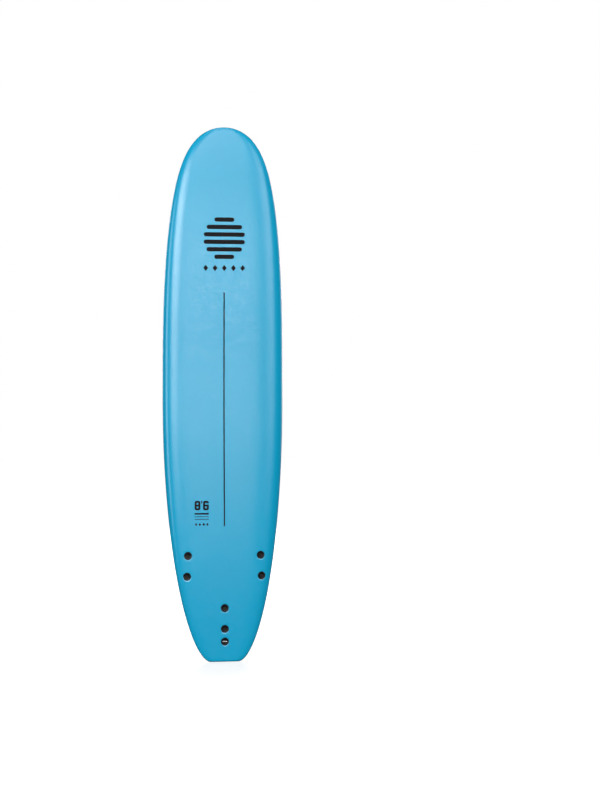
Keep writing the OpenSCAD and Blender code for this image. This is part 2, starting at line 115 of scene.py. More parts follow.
FLANGE_R = 19.5 * MM
BARREL_R = 11 * MM
CUP_H = 16 * MM
HEAD_R = 6 * MM
BOLT_R = 3 * MM
BOLT_L = 28 * MM
BOLT_SEAT = 9 * MM
POST_R = 8 * MM
POST_TOP = 17 * MM
INSERT_R = 4.5 * MM
INSERT_L = 14 * MM
SLEEVE_HOLE_R = 10.6 * MM
LEASH_Z = 94 * MM
LEASH_BARREL_R = 15 * MM
LEASH_BORE_R = 11 * MM
LEASH_H = 20 * MM
LEASH_FLOOR = 6 * MM
LEASH_POST_R = 5 * MM
LEASH_DISC_R = 23.5 * MM
LEASH_DISC_T = 4 * MM

# ---- The board's curves

def half_width(z):
    """Half the outline's width at height z."""
    up = np.clip((z - WIDE_Z) / (BOARD_L - WIDE_Z), 0, 1)
    down = np.clip((WIDE_Z - z) / WIDE_Z, 0, 1)
    fall = NOSE_EARLY * up**NOSE_EARLY_POWER + NOSE_LATE * up**NOSE_LATE_POWER
    nose = HALF_W * np.maximum(0, 1 - fall) ** (1 / NOSE_ROUND)
    tail = TAIL_END_W + (HALF_W - TAIL_END_W) * (1 - down**TAIL_POWER) ** (1 / TAIL_ROUND)
    return np.where(z > WIDE_Z, nose, tail)


CROWDED = np.linspace(0, 1, 4001) ** 3
NOSE_TABLE = BOARD_L - (BOARD_L - WIDE_Z) * CROWDED
TAIL_TABLE = WIDE_Z * CROWDED


def nose_z(x):
    """Where the outline of the nose half is at distance x from the centre line."""
    return np.interp(np.abs(x), half_width(NOSE_TABLE), NOSE_TABLE)


def tail_z(x):
    """The same for the tail half."""
    return np.interp(np.abs(x), half_width(TAIL_TABLE), TAIL_TABLE)


def foil(z):
    """The thickness on the centre line before its ends are rounded off."""
    s = np.abs(z - BOARD_L / 2) / (BOARD_L / 2)
    return BOARD_T - (BOARD_T - END_T) * s**FOIL_POWER


def thickness(z):
    """The board's thickness on the centre line, rounded off at both ends."""
    to_end = np.maximum(0, np.minimum(z, BOARD_L - z))
    s = np.minimum(to_end + END_LAND, EDGE_R) / EDGE_R
    return foil(z) * np.sqrt(1 - (1 - s) ** 2)


def rail_y(z):
    """The line of the rail's widest points."""
    tail = TAIL_ROCKER * np.clip(1 - z / LOW_Z, 0, 1) ** TAIL_ROCKER_POWER
    nose = np.clip((z - LOW_Z) / (BOARD_L - LOW_Z), 0, 1) ** NOSE_ROCKER_POWER * NOSE_ROCKER
    bottom = CENTRE_Y - tail - nose
    return bottom - foil(z) / 2 + thickness(z) / 2 - BELLY_SHARE * thickness(z)


def rise(x, z, power):
    """How much of its centre height the section has left at x."""
    share = np.minimum(1, np.abs(x) / np.maximum(half_width(z), 1e-9))
    return np.sqrt(np.maximum(0, 1 - share**power))


def deck_at(x, z):
    """The deck's y at x and z."""
    return rail_y(z) - (1 - BELLY_SHARE) * thickness(z) * rise(x, z, DECK_POWER)


def belly_at(x, z):
    """The bottom's y at x and z."""
    return rail_y(z) + BELLY_SHARE * thickness(z) * rise(x, z, BELLY_POWER)


def deck_under(x, z):
    """The inner face of the deck foam."""
    return deck_at(x, z) + FOAM_T


def belly_under(x, z):
    """The inner face of the slick."""
    return belly_at(x, z) - SLICK_T


def section_point(z, a, inset):
    """A point of the cross-section at z: angle a is 0 at the right rail and 90 degrees on the
    deck's centre line, and it is below 0 under the rail. inset moves it inwards, but never by
    more than 0.6 of the height."""
    below = np.sin(a) < 0
    power = np.where(below, BELLY_POWER, DECK_POWER)
    height = np.where(below, BELLY_SHARE, 1 - BELLY_SHARE) * thickness(z)
    cos, sin = np.cos(a), np.sin(a)
    inset = np.minimum(inset, 0.6 * height)
    x = (half_width(z) - inset) * np.abs(cos) ** (2 / power) * np.sign(cos)
    return np.stack([x, rail_y(z) - (height - inset) * sin, z + 0 * a], -1)


NOSE_SIDE_Z = float(nose_z(NOSE_BUMPER_W))
TAIL_SIDE_Z = float(tail_z(TAIL_BUMPER_W))


def nose_inner_z(x):
    """The inner edge of the nose bumper."""
    drop = BOARD_L - NOSE_SIDE_Z - BUMPER_D
    return BOARD_L - BUMPER_D - drop * (np.asarray(x) / NOSE_BUMPER_W) ** 2


def tail_inner_z(x):
    """The inner edge of the tail bumper."""
    return BUMPER_D + (TAIL_SIDE_Z - BUMPER_D) * (np.asarray(x) / TAIL_BUMPER_W) ** 2


def lip_angle(z):
    """The angle where the deck foam stops above a bumper's lip."""
    gap = BUMPER_LIP + 2 * GLUE
    return np.arcsin(np.minimum(1, gap / ((1 - BELLY_SHARE) * thickness(z))))


def wrap_angle(z):
    """How far below the rail the deck foam wraps on to the bottom."""
    w = np.maximum(half_width(z), WRAP_W)
    away = np.maximum(0, np.minimum(z - TAIL_SIDE_Z, NOSE_SIDE_Z - z))
    band = WRAP_W * np.minimum(1, away / WRAP_RUN)
    full = np.arccos(((w - band) / w) ** (BELLY_POWER / 2))
    lip = lip_angle(z)
    return np.minimum(1, away / WRAP_TURN) * (full + lip) - lip


def slick_edge_x(z):
    """Half the width of the slick, which ends a glue line short of the deck foam."""
    reach = np.cos(np.maximum(0, wrap_angle(z))) ** (2 / BELLY_POWER)
    return half_width(z) * reach - GLUE


def bent(x, z):
    """The bottom's rows bend to follow the inner edges of the bumpers."""
    nose = np.maximum(0, (z - NOSE_SIDE_Z + BEND_RUN) / BEND_RUN)
    tail = np.maximum(0, (TAIL_SIDE_Z + BEND_RUN - z) / BEND_RUN)
    up = np.maximum(0, nose_inner_z(x) - NOSE_SIDE_Z) * nose
    down = np.minimum(0, tail_inner_z(x) - TAIL_SIDE_Z) * tail
    return z + up + down


# ---- Places: a point with three axes

def turn(axis, degrees):
    """A rotation about X, Y or Z."""
    i, j = {"X": (1, 2), "Y": (2, 0), "Z": (0, 1)}[axis]
    matrix = np.eye(3)
    matrix[i, i] = matrix[j, j] = math.cos(math.radians(degrees))
    matrix[j, i] = math.sin(math.radians(degrees))
    matrix[i, j] = -matrix[j, i]
    return matrix


class Place:
    """An origin and axes, to put points that are drawn round zero."""

    def __init__(self, origin, axes):
        self.origin = np.array(origin, float)
        self.axes = axes

    def at(self, points):
        return self.origin + np.asarray(points, float) @ self.axes.T


def slopes(height, x, z):
    """Pitch and roll, in degrees, of the surface y = height(x, z)."""
    d = 10 * MM
    pitch = math.atan2(height(x, z + d) - height(x, z - d), 2 * d)
    roll = math.atan2(height(x + d, z) - height(x - d, z), 2 * d)
    return math.degrees(pitch), math.degrees(roll)


def seat_place(x, z, yaw=0.0):
    """A seat on the bottom: its Y points out of the board and its Z towards the nose."""
    pitch, roll = slopes(belly_at, x, z)
    axes = turn("Z", roll) @ turn("X", -pitch) @ turn("Y", yaw)
    return Place([x, belly_at(x, z), z], axes)


def line_place(seat, offset):
    """The line of a bolt where it meets the deck, with Z out of the deck, and its depth."""
    depth = 50 * MM
    for _ in range(6):
        p = seat.at([0, -depth, offset])
        depth += p[1] - float(deck_at(p[0], p[2]))
    return Place(seat.at([0, -depth, offset]), seat.axes @ turn("X", 90)), depth


def deck_place(line):
    """The same point with Z square to the deck."""
    pitch, roll = slopes(deck_at, line.origin[0], line.origin[2])
    return Place(line.origin, turn("Z", roll) @ turn("X", -pitch) @ turn("X", 90))


SIDES = {"left": -1, "right": 1, "centre": 0}
ENDS = {"front": 1, "rear": -1}


def fin_seat(side):
    """The seat of a fin's base."""
    if side == 0:
        return seat_place(0.0, CENTRE_FIN_Z)
    return seat_place(side * SIDE_FIN_X, SIDE_FIN_Z, -side * TOE_IN)


# ---- Meshes

MERGE_DISTANCE = 2e-6
SLIVER = 1e-6
HOLE_RINGS = (0.35, 0.65, 0.84, 0.94, 0.985, 1.0)
PRESS_RUN = 2.5 * MM


def linked(name, data):
    """A new object in the scene."""
    obj = bpy.data.objects.new(name, data)
    bpy.context.scene.collection.objects.link(obj)
    return obj


def make(name, build, mat, body="board", node=None, sharp=38):
    """A clean, closed mesh object that rides on a body. Edges over the angle sharp, in degrees,
    are shaded sharp."""
    mesh = bpy.data.meshes.new(name)
    mesh.from_pydata([tuple(v) for v in build.verts], [], [tuple(f) for f in build.faces])
    bm = bmesh.new()
    bm.from_mesh(mesh)
    bmesh.ops.remove_doubles(bm, verts=bm.verts, dist=MERGE_DISTANCE)
    bmesh.ops.dissolve_degenerate(bm, dist=SLIVER, edges=bm.edges)
    bmesh.ops.recalc_face_normals(bm, faces=bm.faces)
    bm.to_mesh(mesh)
    bm.free()
    mesh.shade_smooth()
    mesh.set_sharp_from_angle(angle=math.radians(sharp))
    mesh.materials.append(mat)
    obj = linked(name, mesh)
    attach(obj, body)
    if node:
        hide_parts(node)
    return obj


class Build:
    """Collects the vertices and faces of one mesh."""

    def __init__(self):
        self.verts = []
        self.faces = []

    def add(self, points):
        """Adds an array of points and returns their indices in the same arrangement."""
        points = np.asarray(points, float)
        start = len(self.verts)
        self.verts.extend(points.reshape(-1, 3))
        return np.arange(start, len(self.verts)).reshape(points.shape[:-1])

    def grid(self, index, skip=None):
        """Quads over a grid of indices. skip marks the cells to leave out."""
        quads = np.stack([index[:-1, :-1], index[1:, :-1], index[1:, 1:], index[:-1, 1:]], -1)
        if skip is not None:
            quads = quads[~skip]
        self.faces.extend(quads.reshape(-1, 4).tolist())

    def sheet(self, upper, lower, skip=None):
        """A closed sheet between two grids of indices."""
        self.grid(upper, skip)
        self.grid(lower, skip)
        self.band(rim(upper), rim(lower))

    def band(self, a, b):
        """Quads between two closed rings of indices."""
        for k in range(len(a)):
            n = (k + 1) % len(a)
            self.faces.append([a[k], a[n], b[n], b[k]])

    def rings(self, points, loop=False):
        """A stack of closed rings, an array (rings, points, 3), capped unless it is a loop."""
        index = self.add(points)
        for low, high in zip(index[:-1], index[1:]):
            self.band(low, high)
        if loop:
            self.band(index[-1], index[0])
        else:
            self.faces.append(index[0].tolist())
            self.faces.append(index[-1][::-1].tolist())


def rim(index):
    """The outer edge of a grid of indices, in order."""
    top, right = index[0, :-1], index[:-1, -1]
    return np.concatenate([top, right, index[-1, :0:-1], index[:0:-1, 0]])


def shell(build, outer, inner, outer_y, inner_y, holes, press=0.0):
    """A closed sheet between two grids of points with round holes through it. A hole is
    (place, radius, room): its edge is a true circle on its place, and the grid round it is
    redrawn over the room. press is how far the outer face sinks at a hole's edge."""
    top, base = build.add(outer), build.add(inner)
    skip = np.zeros((outer.shape[0] - 1, outer.shape[1] - 1), bool)
    middle_z = outer[:, outer.shape[1] // 2, 2]
    for place, radius, room in holes:
        cx, cz = place.origin[0], place.origin[2]
        mid = int(np.argmin(np.abs(middle_z - cz)))
        rows = np.where(np.abs(middle_z - cz) < radius + room)[0]
        cols = np.where(np.abs(outer[mid, :, 0] - cx) < radius + room)[0]
        block = np.s_[rows[0] : rows[-1] + 1, cols[0] : cols[-1] + 1]
        skip[rows[0] : rows[-1], cols[0] : cols[-1]] = True
        edge, low_edge = rim(top[block]), rim(base[block])
        points = np.array([build.verts[i] for i in edge])
        angle = np.arctan2(points[:, 2] - cz, points[:, 0] - cx)
        spokes = np.stack([np.cos(angle), np.sin(angle), 0 * angle], -1)
        circle = place.at(radius * spokes)
        last = edge
        for t in HOLE_RINGS:
            ring = points * (1 - t) + circle * t
            away = (1 - t) * np.hypot(*(points - circle)[:, (0, 2)].T)
            ring[:, 1] = outer_y(ring[:, 0], ring[:, 2]) + press * np.exp(-away / PRESS_RUN)
            index = build.add(ring)
            build.band(last, index)
            last = index
        ring = circle.copy()
        ring[:, 1] = inner_y(ring[:, 0], ring[:, 2])
        index = build.add(ring)
        build.band(last, index)
        build.band(index, low_edge)
    build.sheet(top, base, skip)


def steps_between(start, end, step):
    """Even steps of about that size, without the end."""
    count = max(1, round((end - start) / step))
    return np.linspace(start, end, count, endpoint=False)


def turned(profile, place, angles):
    """Rings of a turned profile of (radius, height). radius may be a function of the angle."""
    rings = []
    for radius, height in profile:
        r = np.array([radius(a) if callable(radius) else radius for a in angles])
        points = np.stack([r * np.cos(angles), r * np.sin(angles), 0 * angles + height], -1)
        rings.append(place.at(points))
    return np.array(rings)


def round_angles(count):
    return np.linspace(0, 2 * math.pi, count, endpoint=False)


# ---- Materials

def linear(colour):
    """A colour as linear RGBA. It may be sRGB in hex, or linear RGBA already."""
    if not isinstance(colour, str):
        return colour
    shares = [c / 255 for c in bytes.fromhex(colour)]
    return (*(s / 12.92 if s <= 0.04045 else ((s + 0.055) / 1.055) ** 2.4 for s in shares), 1)


def new_node(tree, kind, inputs=None, **settings):
    """A new shader node with its settings and the values of its inputs."""
    made = tree.nodes.new(f"ShaderNode{kind}")
    for key, value in settings.items():
        setattr(made, key, value)
    for key, value in (inputs or {}).items():
        made.inputs[key].default_value = value
    return made


class Finish:
    """Builds one procedural material on object coordinates."""

    def __init__(self, name, **constants):
        self.material = bpy.data.materials.new(name)
        self.material.use_nodes = True
        self.tree = self.material.node_tree
        self.tree.nodes.clear()
        constants = {key.replace("_", " "): value for key, value in constants.items()}
        self.shader = self.node("BsdfPrincipled", constants)
        output = self.node("OutputMaterial")
        self.link(self.shader.outputs["BSDF"], output.inputs["Surface"])
        self.coordinates = self.node("TexCoord").outputs["Object"]
        self.height = None

    def node(self, kind, inputs=None, **settings):
        return new_node(self.tree, kind, inputs, **settings)

    def link(self, source, target):
        self.tree.links.new(source, target)

    def noise(self, scale, detail=3.0, roughness=0.55, stretch=None):
        inputs = {"Scale": scale, "Detail": detail, "Roughness": roughness}
        made = self.node("TexNoise", inputs)
        source = self.coordinates
        if stretch:
            mapping = self.node("Mapping", {"Scale": stretch})
            self.link(source, mapping.inputs["Vector"])
            source = mapping.outputs["Vector"]
        self.link(source, made.inputs["Vector"])
        return made.outputs["Fac"]

    def cells(self, scale):
        made = self.node("TexVoronoi", {"Scale": scale})
        self.link(self.coordinates, made.inputs["Vector"])
        return made.outputs["Distance"]

    def tinted(self, source, a, b, low=0.3, high=0.7):
        """Colour a in a noise's low parts and b in its high parts."""
        made = self.node("ValToRGB")
        for element, place, colour in zip(made.color_ramp.elements, (low, high), (a, b)):
            element.position = place
            element.color = linear(colour)
        self.link(source, made.inputs["Fac"])
        return made.outputs["Color"]

    def mixed(self, share, a, b):
        """Colour a where share is 0 and b where it is 1. a and b are colours or outputs."""
        made = self.node("Mix", data_type="RGBA")
        self.link(share, made.inputs["Factor"])
        for socket, value in ((made.inputs[6], a), (made.inputs[7], b)):
            if isinstance(value, (str, tuple)):
                socket.default_value = linear(value)
            else:
                self.link(value, socket)
        return made.outputs[2]

    def remapped(self, source, low, high, to_low, to_high):
        inputs = {"From Min": low, "From Max": high, "To Min": to_low, "To Max": to_high}
        made = self.node("MapRange", inputs)
        self.link(source, made.inputs["Value"])
        return made.outputs["Result"]

    def colour(self, source):
        self.link(source, self.shader.inputs["Base Color"])

    def roughness(self, source, low, high):
        """Roughness from low to high over the middle of a noise."""
        self.link(self.remapped(source, 0.3, 0.7, low, high), self.shader.inputs["Roughness"])

    def bump(self, source, distance, strength=1.0):
        """Adds relief of that height, in metres."""
        made = self.node("Bump", {"Strength": strength, "Distance": distance})
        self.link(source, made.inputs["Height"])
        if self.height is not None:
            self.link(self.height, made.inputs["Normal"])
        self.height = made.outputs["Normal"]
        self.link(self.height, self.shader.inputs["Normal"])


def deck_foam_finish():
    """Closed-cell foam skin, heat-rolled to a soft satin with a fine pebble. Its roughness stays
    under 0.27: past that Cycles counts gloss as colour when it removes noise, which leaves flecks
    where the roughness crosses it."""
    f = Finish("deck foam", Specular_IOR_Level=0.58)
    broad = f.noise(1.7, 3)
    base = f.tinted(broad, "00a1cc", "04a6d0")
    mottle = f.remapped(f.noise(55, 4), 0.35, 0.7, 0, 0.12)
    base = f.mixed(mottle, base, "0098c4")
    pale = f.remapped(f.cells(430), 0, 0.35, 0.12, 0)
    f.colour(f.mixed(pale, base, "28acd4"))
    f.roughness(f.noise(24, 4), 0.21, 0.27)
    f.bump(f.noise(9, 2), 0.5 * MM, 0.25)
    f.bump(f.cells(620), 0.12 * MM, 0.35)
    f.bump(f.noise(1500, 2), 0.05 * MM, 0.3)
    return f.material


def slick_finish():
    """White high-density sheet: satin, drawn lengthwise, with the odd faint scuff."""
    f = Finish("slick", Coat_Weight=0.12, Coat_Roughness=0.2)
    base = f.tinted(f.noise(3, 4), "f1f3f3", "f6f7f7")
    scuff = f.remapped(f.noise(60, 6, 0.7, (1, 1, 0.06)), 0.64, 0.8, 0, 0.16)
    f.colour(f.mixed(scuff, base, "dadee0"))
    f.roughness(f.noise(30, 4, 0.6, (1, 1, 0.15)), 0.3, 0.37)
    f.bump(f.noise(5, 2), 0.3 * MM, 0.1)
    f.bump(f.noise(420, 3, 0.6, (1, 1, 0.05)), 0.05 * MM, 0.3)
    return f.material


def bumper_finish():
    """Black moulded foam with a visible fine grain."""
    f = Finish("bumper foam", Sheen_Weight=0.2, Sheen_Roughness=0.5)
    base = f.tinted(f.noise(90, 5), "18191b", "242528")
    f.colour(f.mixed(f.remapped(f.cells(700), 0, 0.4, 0.4, 0), base, "343538"))
    f.roughness(f.noise(40, 4), 0.62, 0.8)
    f.bump(f.cells(520), 0.25 * MM, 0.5)
    f.bump(f.noise(1300, 3), 0.08 * MM, 0.4)
    return f.material


def core_finish():
    """White bead foam: round beads pressed together."""
    f = Finish("core foam")
    beads = f.cells(260)
    f.colour(f.tinted(beads, "fafaf8", "dcdede", 0, 0.6))
    f.roughness(f.noise(50), 0.7, 0.85)
    f.bump(beads, 0.6 * MM, 0.5)
    return f.material


def plywood_finish():
    f = Finish("plywood")
    grain = f.noise(70, 5, 0.6, (1, 1, 0.05))
    f.colour(f.tinted(grain, "b08454", "d6b07c"))
    f.roughness(grain, 0.5, 0.65)
    f.bump(grain, 0.2 * MM, 0.4)
    return f.material


def plastic_finish(name, dark, light, low, high, worn, grain):
    """Black moulded plastic with a spark-eroded grain and slightly paler handled edges."""
    f = Finish(name, Specular_IOR_Level=0.22)
    base = f.tinted(f.noise(35, 5), dark, light)
    point = f.node("NewGeometry").outputs["Pointiness"]
    f.colour(f.mixed(f.remapped(point, 0.53, 0.6, 0, 1), base, worn))
    f.roughness(f.noise(28, 5), low, high)
    f.bump(f.noise(grain, 4, 0.65), 0.06 * MM, 0.5)
    f.bump(f.noise(14, 2), 0.4 * MM, 0.12)
    return f.material


def metal_finish(name, dark, light, low, high, brushed):
    f = Finish(name, Metallic=1)
    streaks = f.noise(300, 5, 0.6, brushed)
    base = f.tinted(streaks, dark, light)
    f.colour(f.mixed(f.remapped(f.noise(60, 4), 0.5, 0.8, 0, 0.4), base, dark))
    f.roughness(streaks, low, high)
    f.bump(streaks, 0.03 * MM, 0.5)
    return f.material


def ink_finish():
    """Black screen ink: nearly even, with pinholes and a slight gloss."""
    f = Finish("black ink", Specular_IOR_Level=0.12)
    base = f.tinted(f.noise(120, 5), "0a0b0d", "141518")
    pinholes = f.remapped(f.cells(520), 0, 0.09, 0.2, 0)
    f.colour(f.mixed(pinholes, base, "283e4a"))
    f.roughness(f.noise(80, 3), 0.5, 0.62)
    f.bump(f.noise(900, 3), 0.04 * MM, 0.4)
    return f.material


def tile_finish():
    """Warm grey rubber label tiles."""
    f = Finish("label rubber", Sheen_Weight=0.1)
    f.colour(f.tinted(f.noise(150, 5), "767163", "928c7c"))
    f.roughness(f.noise(90), 0.5, 0.65)
    f.bump(f.cells(900), 0.1 * MM, 0.5)
    return f.material


FOAM = deck_foam_finish()
SLICK = slick_finish()
BUMPER = bumper_finish()
CORE = core_finish()
PLYWOOD = plywood_finish()
CUP = plastic_finish("cup plastic", "08090c", "101114", 0.34, 0.46, "282a2e", 1400.0)
FIN = plastic_finish("fin plastic", "111214", "1d1e21", 0.34, 0.48, "3a3c40", 900.0)
SLEEVE = plastic_finish("sleeve plastic", "1c1d1f", "28292c", 0.4, 0.5, "46484c", 700.0)
BLACK_STEEL = metal_finish("blackened steel", "221f1d", "3a3632", 0.36, 0.52, (1, 1, 0.2))
STEEL = metal_finish("stainless", "96989a", "c4c6c8", 0.24, 0.38, (0.1, 1, 1))
BRASS = metal_finish("brass", "a07a3a", "cea85c", 0.26, 0.42, (1, 1, 0.2))
INK = ink_finish()
TILE = tile_finish()

# ---- Deck foam, slick and bumpers

DISC_STEP = 4.5 * MM
OPEN_STEP = 14 * MM
TAIL_RUN, TAIL_ROWS = 70 * MM, 25
NOSE_RUN, NOSE_ROWS = 240 * MM, 44
CENTRE_CUPS_TOP = 292 * MM
SIDE_CUPS_LOW, SIDE_CUPS_TOP = 385 * MM, 548 * MM
CUP_GAP = 0.15 * MM
CUP_ROOM = 6 * MM
POST_ROOM = 8 * MM
LEASH_ROOM = 7 * MM
PRESS = 0.7 * MM

# The foam's cut edge: angles in degrees from its start, and how far the ring sinks there
LIP_RINGS = ((0.15, 0.9), (0.285, 0.42), (0.555, 0.12))
LIP_END = 1.4
CROWN_REACH = 0.93
CROWN_COLS = 101
RAIL_COLS = 23
INNER_SHIFT = 2 * MM

SLICK_MIDDLE = 0.9
SLICK_EDGE_COLS = 15
SLICK_MIDDLE_COLS = 79
SLICK_SINK = (0.5 * MM, 0.05 * MM)
SLICK_BEVEL = 0.3 * MM


def ease(count):
    """From 0 to 1, crowded towards 0."""
    return np.linspace(0, 1, count) ** 2


def board_rows(low, high):
    """Heights of the rows of a grid: close where the fittings are and near both ends."""
    stops = [low + TAIL_RUN, CENTRE_CUPS_TOP, SIDE_CUPS_LOW, SIDE_CUPS_TOP, high - NOSE_RUN]
    steps = [DISC_STEP, 2 * DISC_STEP, DISC_STEP, OPEN_STEP]
    parts = [low + (stops[0] - low) * ease(TAIL_ROWS)[:-1]]
    parts += [steps_between(a, b, s) for a, b, s in zip(stops, stops[1:], steps)]
    parts.append(high - (high - stops[-1]) * ease(NOSE_ROWS)[::-1])
    return np.concatenate(parts)


def fittings():
    """The seat of each fin post with the post's offset on it, and last the leash plug's."""
    seats = [fin_seat(side) for side in SIDES.values()]
    posts = [(seat, end * POST_GAP / 2) for seat in seats for end in ENDS.values()]
    return [*posts, (seat_place(0, LEASH_Z), 0)]


def deck_foam():
    """The foam over the deck and round the rails, a closed sheet with seven holes. Its columns
    start at the cut edge on the bottom, go up the rail and cross the crown."""
    zs = board_rows(SKIN_END, BOARD_L - SKIN_END)[:, None]
    start = -wrap_angle(zs)
    reach = CROWN_REACH * np.cos(np.maximum(start, 0)) ** (2 / DECK_POWER)
    join = np.arccos(reach ** (DECK_POWER / 2))
    u = np.linspace(1, -1, CROWN_COLS)[None, :]
    crown = np.arccos(np.sign(u) * np.abs(u * reach) ** (DECK_POWER / 2))
    rail = start + (join - start) * np.linspace(0, 1, RAIL_COLS)[None, :-1]
    lip = [start + math.radians(past) for past, _ in LIP_RINGS]
    right = np.concatenate([*lip, start + math.radians(LIP_END), rail[:, 1:]], 1)
    angles = np.concatenate([right, crown, (math.pi - right)[:, ::-1]], 1)
    sink = np.zeros(angles.shape[1])
    for k, (_, depth) in enumerate(LIP_RINGS):
        sink[k] = sink[-1 - k] = depth * MM
    outer = section_point(zs + 0 * angles, angles, sink[None, :])
    shift = INNER_SHIFT * (1 - 2 * zs / BOARD_L)
    inner = section_point(zs + shift + 0 * angles, angles, FOAM_T)
    places = [deck_place(line_place(seat, offset)[0]) for seat, offset in fittings()]
    holes = [(place, FLANGE_R + CUP_GAP, CUP_ROOM) for place in places]
    build = Build()
    shell(build, outer, inner, deck_at, deck_under, holes, press=PRESS)
    made = make("deck_foam", build, FOAM, node="deck_skin")


def slick_sheet():
    """The slick between the bumpers, with holes for the posts and for the leash plug."""
    gap = GLUE / 2
    zs = board_rows(TAIL_SIDE_Z + GLUE, NOSE_SIDE_Z - GLUE)[:, None]
    crowded = 1 - (1 - np.linspace(0, 1, SLICK_EDGE_COLS)[1:]) ** 2
    outside = SLICK_MIDDLE + (1 - SLICK_MIDDLE) * crowded
    middle = np.linspace(-SLICK_MIDDLE, SLICK_MIDDLE, SLICK_MIDDLE_COLS)
    f = np.concatenate([-outside[::-1], middle, outside])[None, :]
    x = (slick_edge_x(zs) + gap) * f
    z = bent(x, zs)
    sink = np.zeros(f.shape[1])
    sink[0] = sink[-1] = SLICK_SINK[0]
    sink[1] = sink[-2] = SLICK_SINK[1]
    outer = np.stack([x, belly_at(x, z) - sink[None, :], z], -1)
    x_in = (slick_edge_x(zs) - SLICK_BEVEL) * f
    z_in = bent(x_in, zs)
    inner = np.stack([x_in, belly_under(x_in, z_in), z_in], -1)
    out = turn("X", 90)
    places = [Place(seat.at([0, 0, offset]), seat.axes @ out) for seat, offset in fittings()]
    holes = [(place, SLEEVE_HOLE_R, POST_ROOM) for place in places[:-1]]
    holes.append((places[-1], LEASH_POST_R + 2 * MM, LEASH_ROOM))
    build = Build()
    shell(build, outer, inner, belly_at, belly_under, holes)
    make("bottom_sheet", build, SLICK, node="bottom_slick")


BUMPER_SHARE = 0.985
BUMPER_COLS = 121
BUMPER_SOFT = 1.4 * MM

# The rounding of the bumper's lip: how far in from its edge, in mm, and its share of the rise
LIP_ROUND = ((0.0, 0.5), (0.1, 0.85), (0.35, 1.0))


def bumper(name, span, inner_z, outer_z, node):
    """A foam crescent on the bottom that rises a little past the rail's widest line. A ring
    starts with the soft inner edge, follows the bottom, rounds the lip and comes back inside."""
    xs = BUMPER_SHARE * span * np.sin(np.radians(np.linspace(-90, 90, BUMPER_COLS)))
    way = 1 if outer_z(0.0) > inner_z(0.0) else -1
    rings = []
    for x in xs:
        low, high = float(inner_z(x)), float(outer_z(x))
        run = high - low
        soft = min(BUMPER_SOFT, 0.3 * abs(run))
        ring = []
        for t in np.linspace(0, math.pi / 2, 5):
            z = low + way * soft * (1 - math.cos(t))
            ring.append([x, belly_at(x, z) - soft * (1 - math.sin(t)), z])
        for s in np.linspace(0, 1, 22)[1:]:
            z = low + run * math.sin(math.pi / 2 * s)
            if abs(z - low) > soft:
                ring.append([x, belly_at(x, z), z])
            else:
                ring.append([x, ring[-1][1], low + way * soft])
        edge = float(rail_y(high))
        for part, drop in LIP_ROUND:
            ring.append([x, edge - BUMPER_LIP * drop, high - way * part * MM])
        for s in np.linspace(1, 0, 9)[1:]:
            z = low + run * math.sin(math.pi / 2 * s)
            share = s**3
            top = (1 - share) * (belly_at(x, z) - BUMPER_T) + share * (rail_y(z) - BUMPER_LIP)
            ring.append([x, float(top), z])
        rings.append(ring)
    build = Build()
    build.rings(np.array(rings, float))
    made = make(name, build, BUMPER, node=node)


# ---- Fins

SECTION_PEAK = 2.6
BLADE_EDGE = 0.7 * MM
EDGE_ROUND = 0.008
BLADE_TAPER = 0.62
TIP_START = 0.955
TIP_LEFT = 0.03
FOOT_EDGE = 1.1 * MM
FOOT_CROWN = 1.9 * MM
FOOT_SOFT = 0.5 * MM
FILLET, FILLET_RUN = 4.5 * MM, 2.6 * MM
RUNNING = 0.05 * MM


def blade_front(h):
    """The blade's front edge at share h of its depth, towards the nose."""
    return (64 - 34 * h - 132 * h**2.6) * MM


def blade_back(h):
    """The blade's back edge at share h of its depth."""
    return (-56 + 6 * math.sin(math.pi * h) - 54 * h**1.9) * MM


def half_section(s, thick):
    """Half the blade's thickness at share s from its front to its back edge."""
    edge = BLADE_EDGE * math.sqrt(min(1, s / EDGE_ROUND) * min(1, (1 - s) / EDGE_ROUND))
    return thick / 2 * math.sqrt(s) * (1 - s) * SECTION_PEAK + edge


def blade_ring(h, cant, side):
    """The blade's section at share h of its depth, which shrinks round the tip."""
    front, back = blade_front(h), blade_back(h)
    thick = BLADE_T * (1 - BLADE_TAPER * h)
    tip = max(0.0, (h - TIP_START) / (1 - TIP_START))
    keep = math.sqrt(max(0.0, 1 - tip**2)) * (1 - TIP_LEFT) + TIP_LEFT
    middle = (front + back) / 2
    front, back = middle + (front - middle) * keep, middle + (back - middle) * keep
    lean = FIN_DEPTH * h * math.tan(math.radians(cant))
    out = -1 if side < 0 else 1
    shares = [(1 - math.cos(math.pi * j / 22)) / 2 for j in range(23)]
    section = [(half_section(s, thick) * keep, front + (back - front) * s) for s in shares]
    outline = [(lean + x, z) for x, z in section]
    outline += [(lean - x, z) for x, z in section[-2:0:-1]]
    return [[out * x, FIT + FIN_DEPTH * h, z] for x, z in outline]


def almond_half(z):
    """Half the base's width: two arcs that meet in points."""
    r = ((ALMOND_L / 2) ** 2 + (ALMOND_W / 2) ** 2) / ALMOND_W
    return np.sqrt(np.maximum(0, r**2 - z**2)) - (r - ALMOND_W / 2)


def base_sag(z):
    """The base follows the bottom's lengthwise curve."""
    return -0.45 * MM * (z / (ALMOND_L / 2)) ** 2


